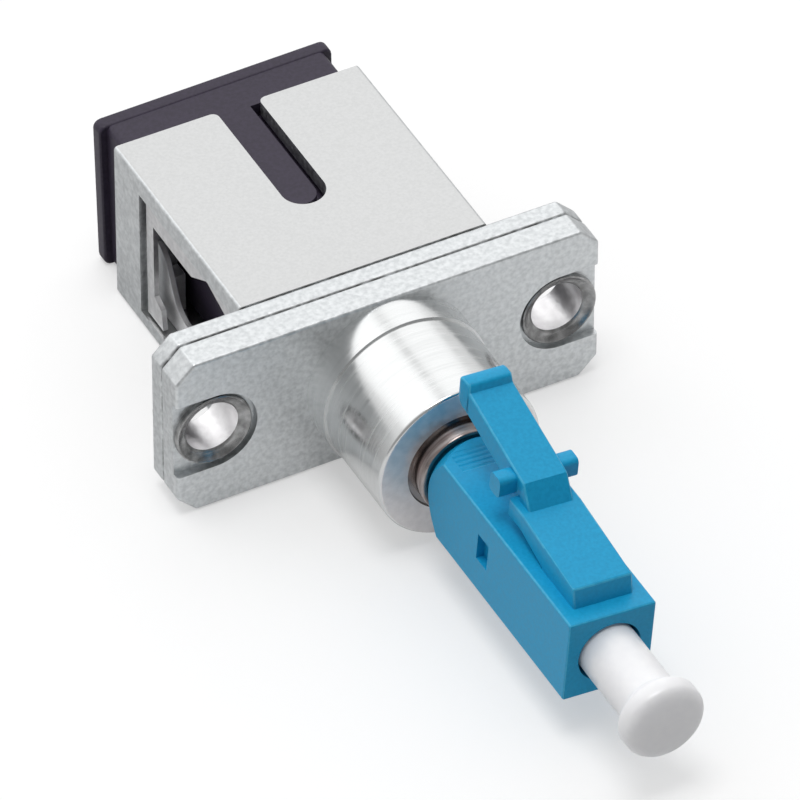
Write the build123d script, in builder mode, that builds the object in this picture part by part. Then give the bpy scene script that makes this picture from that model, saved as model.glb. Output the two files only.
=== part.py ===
from build123d import *
import math
import os

os.makedirs("parts", exist_ok=True)

# Frame: X along the flange, +Y into the large socket, -Y towards the small plug, +Z up (key slot side).
# The origin is midway between the two fixing holes, on the rear face of the flange. Millimetres.

# Flange, two plates back to back
flange_length = 22.0
flange_height = 8.9
rear_plate = 1.05
front_plate = 1.55
flange_chamfer = 0.96
plate_edge = 0.16
hole_to_end = 2.0
hole_radius = 1.35
eyelet_wall = 0.2
eyelet_head_radius = 1.95
eyelet_head_thick = 0.3
eyelet_lip = 0.08
eyelet_dish = 0.15
eyelet_roll = 0.1
pocket_radius = 2.15
pocket_depth = 0.4

# Socket body
body_width = 12.9
body_height = 9.0
body_length = 12.85
mouth_width = 9.0
mouth_height = 7.4
mouth_wall = 2.55
window_top = 3.5
body_edge = 0.2
slot_width = 2.2
slot_length = 7.85
slot_mouth_radius = 0.35
chamber_width = 12.6

# Boss on the front plate
boss_root_radius = 4.28
boss_root_length = 1.66
boss_radius = 4.18
boss_length = 7.0
boss_root_edge = 0.1
boss_edge = 0.12
boss_mouth_edge = 0.08
ring_outer_radius = 2.7
ring_inner_radius = 2.0
ring_length = 1.1
ring_recess = 0.15
ring_lip_radius = 2.4
ring_lip_edge = 0.1
ring_to_plug = 0.15
neck_bore_radius = 2.45
barrel_bore_radius = 1.8

# Small plug and its latch; the plug is turned a little about its own axis
plug_roll = -4.5
plug_width = 4.42
plug_length = 13.4
plug_gap = 1.0
plug_edge = 0.12
plug_front_edge = 0.1
plug_nose_radius = 1.6
plug_nose_depth = 3.2
plug_web = 0.8
plug_web_gap = 0.2
chamber_radius = 1.55
neck_radius = 1.9
collar_radius = 2.4
collar_length = 1.5
rear_cone_length = 1.3
rear_end_inset = 0.07
rear_rib_pitch = 0.3
rear_rib_count = 5
rear_rib_depth = 0.03
rear_rib_span = 3.2
rear_rib_from_rear = 0.7
recess_length = 1.0
recess_height = 1.4
recess_depth = 0.25
recess_from_rear = 5.3
recess_rise = 0.2

latch_from_front = 0.9
latch_front_lean = 0.29
latch_root_length = 3.1
latch_root_height = 1.0
latch_foot_width = 3.04
latch_slab_length = 4.94
latch_slab_rise = 0.54
latch_slab_thick = 0.95
latch_slab_overlap = 0.5
latch_step = 1.09
latch_step_run = 0.76
latch_arm_width = 2.3
latch_arm_length = 5.38
latch_arm_rise = 1.15
latch_arm_thick = 1.25
latch_tail_rise = 0.5
latch_ridge_height = 0.4
latch_ridge_length = 1.0
latch_ridge_lean = 0.14
latch_ridge_round = 0.18
latch_edge = 0.12
latch_under_gap = 0.03
lug_span = 4.05
lug_length = 0.92
lug_height = 1.05
lug_corner = 0.25
lug_from_step = 0.55
lug_drop = 0.0

# Glass path and what carries it
small_ferrule_radius = 0.6245
small_ferrule_reach = 1.0
small_ferrule_length = 6.2
small_tip_length = 0.4
small_tip_step = 0.2
fibre_radius = 0.0625
large_ferrule_radius = 1.2495
large_ferrule_length = 5.6
large_ferrule_rear = 5.0
large_tip_length = 0.6
large_tip_step = 0.35
holder_head_radius = 1.4
holder_head_length = 1.35
holder_head_edge = 0.25
holder_stem_radius = 0.8
holder_cup_radius = 1.6
holder_cup_length = 3.4
holder_cup_hold = 1.6
ferrule_travel = 0.6
spring_wire = 0.25
spring_length = 4.6
spring_turns = 6
spring_end_play = 0.01
bush_length = 2.0
sleeve_radius = 1.6
sleeve_slit = 0.45
sleeve_length = 7.6
sleeve_gap = 0.25
sleeve_grip = 0.01
tube_radius = 2.25
tube_end_wall = 0.45
tube_edge = 0.2
tube_mouth_gap = 0.1
tube_lead_in = 0.25
tube_flange_radius = 3.0
tube_flange_thick = 0.8
tube_clearance = 0.1

# Inner frame with its two spring hooks
base_thick = 1.9
frame_clearance = 0.05
side_plate = 0.25
side_gap_to_post = 0.35
strip_width = 0.7
band_height = 1.25
band_taper = 1.6
band_end = 3.7
band_rise = 0.94
band_low_gap = 0.1
strip_shoulder = 0.7
strip_shoulder_drop = 0.35
strip_taper = 0.2
shoulder_height = 1.1
hook_thick = 0.25
hook_flex_gap = 0.4
hook_seat_play = 0.05
hook_seat_depth = 1.4
hook_end_gap = 0.12
hook_arm_height = 1.07
hook_rise = 2.94
hook_run = 3.34
hook_tip = 2.2
hook_lip = 0.8
hook_lip_length = 0.8

# Covers
cap_tube_radius = 1.45
cap_tube_bore = 0.66
cap_tube_edge = 0.15
cap_end_gap = 0.6
cap_grip_radius = 2.03
cap_length = 5.56
cap_grip_length = 1.0
cap_flare = 0.7
cap_insert = 2.4
cap_edge = 0.3
cap_flare_root = 0.08
cap_grip_taper = 0.25
cap_grip_step = 0.08
cover_rim_width = 12.3
cover_rim_height = 8.6
cover_rim_thick = 0.75
cover_rim_corner = 0.4
cover_rim_edge = 0.12
cover_collar_width = 11.5
cover_collar_height = 8.5
cover_collar_length = 1.9
cover_corner = 0.3
cover_clearance = 0.22
cover_roll = 1.0
cover_side_shift = -0.07
cover_drop = 0.1
cover_wall = 1.0
cover_depth = 7.6
cover_key_width = 1.7
cover_key_end_gap = 0.45
cover_key_end_radius = 0.8

running_fit = 0.05
beyond = 1.0
hair = 0.01

# Places that follow from the sizes above
hole_pitch = flange_length - 2 * hole_to_end
seam_y = -rear_plate
flange_front_y = seam_y - front_plate
boss_face_y = flange_front_y - boss_length
plug_rear_y = boss_face_y - plug_gap
plug_front_y = plug_rear_y - plug_length
ring_front_y = boss_face_y + ring_recess
ring_lip_front_y = plug_rear_y + ring_to_plug
ring_rear_y = ring_front_y + ring_length
collar_front_y = ring_rear_y + running_fit
collar_rear_y = collar_front_y + collar_length
web_front_y = plug_front_y + plug_nose_depth
web_rear_y = web_front_y + plug_web
ferrule_front_y = plug_front_y - small_ferrule_reach
ferrule_rear_y = ferrule_front_y + small_ferrule_length
head_rear_y = web_rear_y + holder_head_length
bush_front_y = head_rear_y + spring_length
large_ferrule_front_y = large_ferrule_rear - large_ferrule_length
cup_rear_y = large_ferrule_front_y + holder_cup_hold
cup_front_y = cup_rear_y - holder_cup_length
base_rear_y = seam_y + base_thick
sleeve_front_y = cup_rear_y + ferrule_travel + sleeve_gap
sleeve_rear_y = sleeve_front_y + sleeve_length
tube_rear_y = sleeve_rear_y + tube_clearance + tube_end_wall
post_y = body_length - mouth_wall
strip_rear_y = post_y - side_gap_to_post
mouth_y = body_length


def across(y, roll=0.0):
    """A plane square to the axis at y, facing the small plug, turned by roll degrees."""
    turn = math.radians(roll)
    return Plane(origin=(0, y, 0), x_dir=(math.cos(turn), 0, math.sin(turn)), z_dir=(0, -1, 0))


def along(roll=0.0, offset=0.0):
    """The upright plane through the axis: local x is Y, local y is up, turned by roll degrees."""
    turn = math.radians(roll)
    side = Vector(math.cos(turn), 0, math.sin(turn))
    return Plane(origin=side * offset, x_dir=(0, 1, 0), z_dir=side)


def turned(points, roll=0.0):
    """A body of revolution about the Y axis from (y, radius) points."""
    with BuildPart() as body:
        with BuildSketch(along(roll)):
            with BuildLine():
                Polyline(*points, close=True)
            make_face()
        revolve(axis=Axis.Y)
    return body.part


# Socket body: die-cast, with its own half of the flange
with BuildPart() as sc_housing:
    with BuildSketch(across(0)):
        Rectangle(body_width, body_height)
    extrude(amount=-body_length)
    fillet(sc_housing.edges().filter_by(Axis.Y), body_edge)
    with BuildSketch(across(0)) as plate_outline:
        Rectangle(flange_length, flange_height)
        chamfer(plate_outline.vertices(), flange_chamfer)
    extrude(amount=rear_plate)
    rear_plate_rim = sc_housing.faces().sort_by(Axis.Y)[0].outer_wire().edges()
    fillet(rear_plate_rim, plate_edge)
    # Mouth, then the wider chamber behind it that runs out through the flange
    with BuildSketch(across(seam_y)):
        Rectangle(mouth_width, mouth_height)
    extrude(amount=-(body_length + rear_plate), mode=Mode.SUBTRACT)
    with BuildSketch(across(seam_y)):
        Rectangle(chamber_width, mouth_height)
    extrude(amount=-(post_y + rear_plate), mode=Mode.SUBTRACT)
    # Side windows, from the flange to the mouth wall
    with BuildSketch(across(0)):
        with Locations((0, (window_top - mouth_height / 2) / 2)):
            Rectangle(body_width * 2, window_top + mouth_height / 2)
    extrude(amount=-post_y, mode=Mode.SUBTRACT)
    # Key slot in the top wall, open at the mouth
    with BuildSketch(Plane.XY.offset(body_height / 2)):
        with Locations((0, mouth_y - slot_length / 2 + slot_width / 4)):
            Rectangle(slot_width, slot_length - slot_width / 2)
        with Locations((0, mouth_y - slot_length + slot_width / 2)):
            Circle(slot_width / 2)
    extrude(amount=-(body_height - mouth_height) / 2, mode=Mode.SUBTRACT)
    slot_corners = (
        sc_housing.edges().filter_by(Axis.Z).group_by(Axis.Y)[-1]
        .filter_by_position(Axis.X, -slot_width / 2 - hair, slot_width / 2 + hair)
    )
    fillet(slot_corners, slot_mouth_radius)
    # Fixing holes, counterbored behind for the flush ends of the eyelets
    with BuildSketch(across(seam_y)):
        with GridLocations(hole_pitch, 1, 2, 1):
            Circle(hole_radius + eyelet_wall)
    extrude(amount=-rear_plate, mode=Mode.SUBTRACT)
    with BuildSketch(across(0)):
        with GridLocations(hole_pitch, 1, 2, 1):
            Circle(eyelet_head_radius)
    extrude(amount=eyelet_head_thick, mode=Mode.SUBTRACT)
sc_housing.part.label = "sc_housing"
export_step(sc_housing.part, "parts/sc_housing.step")

# Nose: die-cast front plate with the turned boss
with BuildPart() as nose_housing:
    with BuildSketch(across(seam_y)) as plate_outline:
        Rectangle(flange_length, flange_height)
        chamfer(plate_outline.vertices(), flange_chamfer)
    extrude(amount=front_plate)
    for end_face in (nose_housing.faces().sort_by(Axis.Y)[0], nose_housing.faces().sort_by(Axis.Y)[-1]):
        fillet(end_face.outer_wire().edges(), plate_edge)
    with BuildSketch(across(flange_front_y)):
        Circle(boss_root_radius)
    extrude(amount=boss_root_length)
    root_edge = nose_housing.edges().filter_by(GeomType.CIRCLE).sort_by(Axis.Y)[-1]
    chamfer(root_edge, boss_root_edge)
    with BuildSketch(across(flange_front_y - boss_root_length)):
        Circle(boss_radius)
    extrude(amount=boss_length - boss_root_length)
    rim_edge = nose_housing.edges().filter_by(GeomType.CIRCLE).sort_by(Axis.Y)[0]
    chamfer(rim_edge, boss_edge)
    # Bores, from the front: ring seat, neck bore, barrel bore
    with BuildSketch(across(ring_rear_y)):
        Circle(ring_outer_radius)
    extrude(amount=boss_length, mode=Mode.SUBTRACT)
    mouth_edge = nose_housing.faces().sort_by(Axis.Y)[0].inner_wires().edges()
    chamfer(mouth_edge, boss_mouth_edge)
    with BuildSketch(across(collar_rear_y)):
        Circle(neck_bore_radius)
    extrude(amount=boss_length, mode=Mode.SUBTRACT)
    with BuildSketch(across(seam_y)):
        Circle(barrel_bore_radius)
    extrude(amount=boss_length + front_plate, mode=Mode.SUBTRACT)
    # Pockets round the holes, open to the ends of the plate
    pocket_run = flange_length / 2 - hole_pitch / 2
    with BuildSketch(across(flange_front_y + pocket_depth)):
        with GridLocations(hole_pitch, 1, 2, 1):
            Circle(pocket_radius)
        for side in (-1, 1):
            with Locations((side * (hole_pitch + pocket_run) / 2, 0)):
                Rectangle(pocket_run, 2 * pocket_radius)
    extrude(amount=pocket_depth, mode=Mode.SUBTRACT)
    with BuildSketch(across(seam_y)):
        with GridLocations(hole_pitch, 1, 2, 1):
            Circle(hole_radius + eyelet_wall)
    extrude(amount=front_plate, mode=Mode.SUBTRACT)
nose_housing.part.label = "nose_housing"
export_step(nose_housing.part, "parts/nose_housing.step")

# Eyelets: hollow rivets that hold the two plates together, with a dished head in the pocket
pocket_floor_y = flange_front_y + pocket_depth
eyelet_outer = hole_radius + eyelet_wall
for name, side in (("eyelet_left", -1), ("eyelet_right", 1)):
    with BuildPart() as eyelet:
        with BuildSketch(along(0, side * hole_pitch / 2)):
            with BuildLine():
                Polyline(
                    (0, hole_radius),
                    (pocket_floor_y, hole_radius),
                    (pocket_floor_y - eyelet_lip, hole_radius + eyelet_dish),
                    (pocket_floor_y - eyelet_head_thick, eyelet_head_radius - eyelet_roll),
                    (pocket_floor_y - eyelet_head_thick + eyelet_roll, eyelet_head_radius),
                    (pocket_floor_y, eyelet_head_radius),
                    (pocket_floor_y, eyelet_outer),
                    (-eyelet_head_thick, eyelet_outer),
                    (-eyelet_head_thick, eyelet_head_radius),
                    (0, eyelet_head_radius),
                    close=True,
                )
            make_face()
        revolve(axis=Axis((side * hole_pitch / 2, 0, 0), (0, 1, 0)))
    eyelet.part.label = name
    export_step(eyelet.part, "parts/" + name + ".step")

# Ring pressed into the boss mouth: it keeps the collar of the small plug in, and its lip hides the neck
retaining_ring = turned([
    (ring_lip_front_y, ring_inner_radius),
    (ring_lip_front_y, ring_lip_radius - ring_lip_edge),
    (ring_lip_front_y + ring_lip_edge, ring_lip_radius),
    (ring_front_y, ring_lip_radius),
    (ring_front_y, ring_outer_radius),
    (ring_rear_y, ring_outer_radius),
    (ring_rear_y, ring_inner_radius),
])
retaining_ring.label = "retaining_ring"
export_step(retaining_ring, "parts/retaining_ring.step")

# Small plug: square moulded housing with a round neck and collar inside the boss
half = plug_width / 2
latch_front_y = plug_front_y + latch_from_front
slab_front_y = latch_front_y + latch_front_lean
slab_front = half + latch_root_height
latch_hinge_y = latch_front_y + latch_root_length
slab_at_hinge = slab_front + latch_slab_rise * (latch_hinge_y - slab_front_y) / latch_slab_length
rear_cone = turned([
    (plug_rear_y + beyond, plug_width),
    (plug_rear_y + beyond, half - rear_end_inset),
    (plug_rear_y, half - rear_end_inset),
    (plug_rear_y - rear_cone_length, half * math.sqrt(2)),
    (plug_rear_y - rear_cone_length, plug_width),
])
with BuildPart() as lc_housing:
    with BuildSketch(across(plug_rear_y, plug_roll)):
        Rectangle(plug_width, plug_width)
    extrude(amount=plug_length)
    fillet(lc_housing.edges().filter_by(Axis.Y), plug_edge)
    front_face = lc_housing.faces().sort_by(Axis.Y)[0]
    fillet(front_face.edges(), plug_front_edge)
    # Rear end turned down to a cone
    add(rear_cone, mode=Mode.SUBTRACT)
    # Neck and collar
    with BuildSketch(across(collar_rear_y)):
        Circle(neck_radius)
    extrude(amount=collar_rear_y - plug_rear_y)
    with BuildSketch(across(collar_rear_y)):
        Circle(collar_radius)
    extrude(amount=collar_length)
    # Latch root, the fixed end of the lever
    with BuildSketch(along(plug_roll)):
        with BuildLine():
            Polyline(
                (latch_front_y, half - plug_edge),
                (latch_front_y, half),
                (slab_front_y, slab_front),
                (latch_hinge_y, slab_at_hinge),
                (latch_hinge_y, half - plug_edge),
                close=True,
            )
        make_face()
    extrude(amount=latch_foot_width / 2, both=True)
    root_top = lc_housing.edges().filter_by_position(Axis.Y, slab_front_y - hair, slab_front_y + hair)
    fillet(root_top, latch_edge)
    # Fine moulded ribs across the top at the rear
    with BuildSketch(along(plug_roll)):
        for i in range(rear_rib_count):
            with Locations((plug_rear_y - rear_rib_from_rear - i * rear_rib_pitch, half)):
                Rectangle(rear_rib_pitch / 2, 2 * rear_rib_depth)
    extrude(amount=rear_rib_span / 2, both=True, mode=Mode.SUBTRACT)
    # Small moulding recess on the left side
    with BuildSketch(along(plug_roll, -half)):
        with Locations((plug_rear_y - recess_from_rear, recess_rise)):
            Rectangle(recess_length, recess_height)
    extrude(amount=recess_depth, mode=Mode.SUBTRACT)
    # Nose bore, web and chamber for the ferrule holder
    with BuildSketch(across(web_front_y)):
        Circle(plug_nose_radius)
    extrude(amount=plug_nose_depth, mode=Mode.SUBTRACT)
    with BuildSketch(across(web_rear_y)):
        Circle(small_ferrule_radius + plug_web_gap)
    extrude(amount=plug_web, mode=Mode.SUBTRACT)
    with BuildSketch(across(collar_rear_y)):
        Circle(chamber_radius)
    extrude(amount=collar_rear_y - web_rear_y, mode=Mode.SUBTRACT)
lc_housing.part.label = "lc_housing"
export_step(lc_housing.part, "parts/lc_housing.step")

# Latch lever: slab, side lugs, raised arm and thumb ridge
slab_end_y = slab_front_y + latch_slab_length
slab_end = slab_front + latch_slab_rise
step_y = slab_end_y + latch_step_run
arm_start = slab_end + latch_step
arm_end_y = step_y + latch_arm_length
arm_end = arm_start + latch_arm_rise
ridge_top = arm_end + latch_ridge_height
tail_y = arm_end_y + latch_ridge_length
slab_rear_y = step_y + latch_slab_overlap
with BuildPart() as lc_latch:
    with BuildSketch(along(plug_roll)):
        with BuildLine():
            Polyline(
                (latch_hinge_y, half + latch_under_gap),
                (latch_hinge_y, slab_at_hinge),
                (slab_end_y, slab_end),
                (slab_rear_y, slab_end),
                (slab_rear_y, slab_end - latch_slab_thick),
                close=True,
            )
        make_face()
    extrude(amount=latch_foot_width / 2, both=True)
    with BuildSketch(along(plug_roll)) as arm_side:
        with BuildLine():
            Polyline(
                (slab_end_y, slab_end - latch_slab_thick / 2),
                (slab_end_y, slab_end),
                (step_y, arm_start),
                (arm_end_y, arm_end),
                (arm_end_y + latch_ridge_lean, ridge_top),
                (tail_y, ridge_top),
                (tail_y, arm_end - latch_arm_thick + latch_tail_rise),
                (tail_y - latch_tail_rise, arm_end - latch_arm_thick),
                (slab_rear_y, arm_start - latch_arm_thick),
                (slab_rear_y, slab_end - latch_slab_thick / 2),
                close=True,
            )
        make_face()
        fillet(arm_side.vertices().sort_by(Axis.Y)[-2:], latch_ridge_round)
    extrude(amount=latch_arm_width / 2, both=True)
    # Lugs that catch behind the shoulders of the mating socket
    with BuildSketch(along(plug_roll)):
        with Locations((step_y + lug_from_step + lug_length / 2, arm_start - lug_drop - lug_height / 2)):
            RectangleRounded(lug_length, lug_height, lug_corner)
    extrude(amount=lug_span / 2, both=True)
lc_latch.part.label = "lc_latch"
export_step(lc_latch.part, "parts/lc_latch.step")

# Ferrule holder: turned metal head, stem and rear cup
ferrule_holder = turned([
    (web_rear_y, small_ferrule_radius),
    (web_rear_y, holder_head_radius - holder_head_edge),
    (web_rear_y + holder_head_edge, holder_head_radius),
    (head_rear_y, holder_head_radius),
    (head_rear_y, holder_stem_radius),
    (cup_front_y, holder_stem_radius),
    (cup_front_y, holder_cup_radius),
    (cup_rear_y, holder_cup_radius),
    (cup_rear_y, large_ferrule_radius),
    (large_ferrule_front_y, large_ferrule_radius),
    (large_ferrule_front_y, fibre_radius),
    (ferrule_rear_y, fibre_radius),
    (ferrule_rear_y, small_ferrule_radius),
])
ferrule_holder.label = "ferrule_holder"
export_step(ferrule_holder, "parts/ferrule_holder.step")

# Ferrules: ceramic rods with a fine bore and a chamfered tip
lc_ferrule = turned([
    (ferrule_front_y, fibre_radius),
    (ferrule_front_y, small_ferrule_radius - small_tip_step),
    (ferrule_front_y + small_tip_length, small_ferrule_radius),
    (ferrule_rear_y, small_ferrule_radius),
    (ferrule_rear_y, fibre_radius),
])
lc_ferrule.label = "lc_ferrule"
export_step(lc_ferrule, "parts/lc_ferrule.step")

sc_ferrule = turned([
    (large_ferrule_rear, fibre_radius),
    (large_ferrule_rear, large_ferrule_radius - large_tip_step),
    (large_ferrule_rear - large_tip_length, large_ferrule_radius),
    (large_ferrule_front_y, large_ferrule_radius),
    (large_ferrule_front_y, fibre_radius),
])
sc_ferrule.label = "sc_ferrule"
export_step(sc_ferrule, "parts/sc_ferrule.step")

with BuildPart() as optical_fibre:
    with BuildSketch(across(large_ferrule_rear)):
        Circle(fibre_radius)
    extrude(amount=large_ferrule_rear - ferrule_front_y)
optical_fibre.part.label = "optical_fibre"
export_step(optical_fibre.part, "parts/optical_fibre.step")

# Spring between the holder head and the bush
spring_radius = (holder_stem_radius + chamber_radius) / 2
spring_free = spring_length - spring_wire
with BuildPart() as ferrule_spring:
    with BuildLine() as coil:
        Helix(
            pitch=spring_free / spring_turns,
            height=spring_free,
            radius=spring_radius,
            center=(0, head_rear_y + spring_wire / 2, 0),
            direction=(0, 1, 0),
        )
    with BuildSketch(Plane(origin=coil.line @ 0, z_dir=coil.line % 0)):
        RegularPolygon((spring_wire - spring_end_play) / 2, 6)
    sweep(is_frenet=True)
ferrule_spring.part.label = "ferrule_spring"
export_step(ferrule_spring.part, "parts/ferrule_spring.step")

# Bush pressed into the neck behind the spring
spring_bush = turned([
    (bush_front_y, holder_stem_radius + running_fit),
    (bush_front_y, chamber_radius),
    (bush_front_y + bush_length, chamber_radius),
    (bush_front_y + bush_length, holder_stem_radius + running_fit),
])
spring_bush.label = "spring_bush"
export_step(spring_bush, "parts/spring_bush.step")

# Split sleeve: a ceramic tube slit along its length
with BuildPart() as split_sleeve:
    with BuildSketch(across(sleeve_rear_y)):
        Circle(sleeve_radius)
        Circle(large_ferrule_radius + sleeve_grip, mode=Mode.SUBTRACT)
        with Locations((0, -sleeve_radius)):
            Rectangle(sleeve_slit, sleeve_radius, mode=Mode.SUBTRACT)
    extrude(amount=sleeve_length)
split_sleeve.part.label = "split_sleeve"
export_step(split_sleeve.part, "parts/split_sleeve.step")

# Sleeve tube: holds the split sleeve on the axis, with a lead-in for the mating ferrule
sleeve_tube = turned([
    (seam_y, sleeve_radius + tube_clearance + tube_mouth_gap),
    (seam_y, tube_flange_radius),
    (seam_y + tube_flange_thick, tube_flange_radius),
    (seam_y + tube_flange_thick, tube_radius),
    (tube_rear_y - tube_edge, tube_radius),
    (tube_rear_y, tube_radius - tube_edge),
    (tube_rear_y, large_ferrule_radius + tube_mouth_gap + tube_lead_in),
    (tube_rear_y - tube_end_wall, large_ferrule_radius + tube_mouth_gap),
    (tube_rear_y - tube_end_wall, sleeve_radius + tube_clearance),
    (sleeve_front_y - tube_mouth_gap, sleeve_radius + tube_clearance),
    (sleeve_front_y - 2 * tube_mouth_gap, sleeve_radius + tube_clearance + tube_mouth_gap),
])
sleeve_tube.label = "sleeve_tube"
export_step(sleeve_tube, "parts/sleeve_tube.step")

# Inner frame: base plate in the flange passage, with a light side frame behind each window
frame_half = chamber_width / 2 - frame_clearance
frame_half_height = mouth_height / 2 - frame_clearance
plate_height = window_top - frame_clearance
plate_low = frame_half_height - band_low_gap
band_low = plate_height - band_height
hook_outer = frame_half - side_plate - hook_flex_gap
hook_middle = hook_outer - hook_thick / 2
hook_low = -frame_half_height
hook_top = hook_low + hook_arm_height
strip_front_y = strip_rear_y - strip_width
with BuildPart() as inner_frame:
    with BuildSketch(across(seam_y)):
        Rectangle(2 * frame_half, 2 * frame_half_height)
        Circle(tube_flange_radius, mode=Mode.SUBTRACT)
    extrude(amount=-tube_flange_thick)
    with BuildSketch(across(seam_y + tube_flange_thick)):
        Rectangle(2 * frame_half, 2 * frame_half_height)
        Circle(tube_radius, mode=Mode.SUBTRACT)
    extrude(amount=-(base_thick - tube_flange_thick))
    # Seats for the two hook springs, open below
    with BuildSketch(across(base_rear_y)):
        for side in (-1, 1):
            with Locations((side * hook_middle, hook_low + hook_arm_height / 2)):
                Rectangle(hook_thick + 2 * hook_seat_play, hook_arm_height + 2 * hook_seat_play)
    extrude(amount=hook_seat_depth, mode=Mode.SUBTRACT)
    # Side frames: strip beside the mouth wall, band under the top rail, foot at the bottom
    for side in (-1, 1):
        with BuildSketch(along(0, side * (frame_half - side_plate / 2))):
            with BuildLine():
                Polyline(
                    (seam_y, plate_height),
                    (seam_y, band_low),
                    (base_rear_y, band_low),
                    (band_end, band_low + band_rise),
                    (band_end + band_taper, band_low),
                    (strip_front_y, band_low),
                    (strip_front_y, shoulder_height - plate_low + strip_shoulder_drop),
                    (strip_front_y - strip_shoulder, shoulder_height - plate_low),
                    (strip_front_y - strip_shoulder - strip_taper, -plate_low),
                    (strip_rear_y, -plate_low),
                    (strip_rear_y, plate_height),
                    close=True,
                )
            make_face()
        extrude(amount=side_plate / 2, both=True)
inner_frame.part.label = "inner_frame"
export_step(inner_frame.part, "parts/inner_frame.step")

# Hook springs: one stamped arm each side, rising to a tip whose lip holds what is plugged in
hook_root_y = base_rear_y - hook_seat_depth + hook_seat_play
hook_tip_y = post_y - hook_end_gap
for name, side in (("hook_left", -1), ("hook_right", 1)):
    with BuildPart() as hook:
        with BuildSketch(along(0, side * hook_middle)):
            with BuildLine():
                Polyline(
                    (hook_tip_y - hook_run, hook_top),
                    (hook_root_y, hook_top),
                    (hook_root_y, hook_low),
                    (hook_tip_y, hook_low),
                    (hook_tip_y, hook_top + hook_rise),
                )
                Spline(
                    (hook_tip_y, hook_top + hook_rise),
                    (hook_tip_y - 0.35 * hook_run, hook_top + 0.66 * hook_rise),
                    (hook_tip_y - 0.55 * hook_run, hook_top + 0.2 * hook_rise),
                    (hook_tip_y - hook_run, hook_top),
                )
            make_face()
        extrude(amount=hook_thick / 2, both=True)
        with BuildSketch(across(hook_tip_y)):
            with Locations((side * (hook_outer - hook_thick - hook_lip / 2), hook_low + hook_tip / 2)):
                Rectangle(hook_lip, hook_tip)
        extrude(amount=hook_lip_length)
    hook.part.label = name
    export_step(hook.part, "parts/" + name + ".step")

# White cover on the small ferrule: tube with a flared grip, blind bore
cap_front_y = plug_front_y - cap_length
grip_rear_y = cap_front_y + cap_grip_length
lc_cap = turned([
    (plug_front_y + cap_insert, cap_tube_bore),
    (plug_front_y + cap_insert, cap_tube_radius - cap_tube_edge),
    (plug_front_y + cap_insert - cap_tube_edge, cap_tube_radius),
    (grip_rear_y + cap_flare, cap_tube_radius),
    (grip_rear_y + cap_flare / 2, cap_tube_radius + cap_flare_root),
    (grip_rear_y, cap_grip_radius - cap_grip_step),
    (grip_rear_y - cap_grip_taper, cap_grip_radius),
    (cap_front_y + cap_edge, cap_grip_radius),
    (cap_front_y + cap_edge / 3, cap_grip_radius - cap_edge / 3),
    (cap_front_y, cap_grip_radius - cap_edge),
    (cap_front_y, 0),
    (ferrule_front_y - cap_end_gap, 0),
    (ferrule_front_y - cap_end_gap, cap_tube_bore),
])
lc_cap.label = "lc_cap"
export_step(lc_cap, "parts/lc_cap.step")

# Dark cover in the large socket: rim, collar, hollow plug and key; it sits a little turned in its play
plug_w = mouth_width - 2 * cover_clearance
plug_h = mouth_height - 2 * cover_clearance
cover_front_y = mouth_y - cover_depth
rim_front_y = mouth_y + cover_collar_length
cover_rear_y = rim_front_y + cover_rim_thick
cover_middle = (cover_side_shift, -cover_drop)
key_front_y = mouth_y - slot_length + cover_key_end_gap
key_low = plug_h / 2 - cover_wall / 2
key_height = cover_collar_height / 2 - key_low
with BuildPart() as sc_dust_cap:
    with BuildSketch(across(cover_rear_y, cover_roll)):
        with Locations(cover_middle):
            RectangleRounded(cover_rim_width, cover_rim_height, cover_rim_corner)
    extrude(amount=cover_rim_thick)
    for end_face in (sc_dust_cap.faces().sort_by(Axis.Y)[0], sc_dust_cap.faces().sort_by(Axis.Y)[-1]):
        chamfer(end_face.edges(), cover_rim_edge)
    with BuildSketch(across(rim_front_y, cover_roll)):
        with Locations(cover_middle):
            RectangleRounded(cover_collar_width, cover_collar_height, cover_corner)
    extrude(amount=cover_collar_length)
    with BuildSketch(across(mouth_y, cover_roll)):
        with Locations(cover_middle):
            RectangleRounded(plug_w, plug_h, cover_corner)
    extrude(amount=cover_depth)
    # Key in the slot, level with the collar and round at its end
    with BuildSketch(across(mouth_y, cover_roll)):
        with Locations((cover_side_shift, key_low + key_height / 2 - cover_drop)):
            Rectangle(cover_key_width, key_height)
    extrude(amount=mouth_y - key_front_y)
    key_end = sc_dust_cap.edges().filter_by_position(Axis.Y, key_front_y - hair, key_front_y + hair)
    key_sides = key_end.filter_by(lambda edge: abs(edge.tangent_at(0).Z) > abs(edge.tangent_at(0).X))
    fillet(key_sides, cover_key_end_radius)
    with BuildSketch(across(mouth_y + cover_collar_length / 2, cover_roll)):
        with Locations(cover_middle):
            RectangleRounded(plug_w - 2 * cover_wall, plug_h - 2 * cover_wall, cover_corner)
    extrude(amount=cover_depth + cover_collar_length / 2, mode=Mode.SUBTRACT)
sc_dust_cap.part.label = "sc_dust_cap"
export_step(sc_dust_cap.part, "parts/sc_dust_cap.step")
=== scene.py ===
import math

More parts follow.
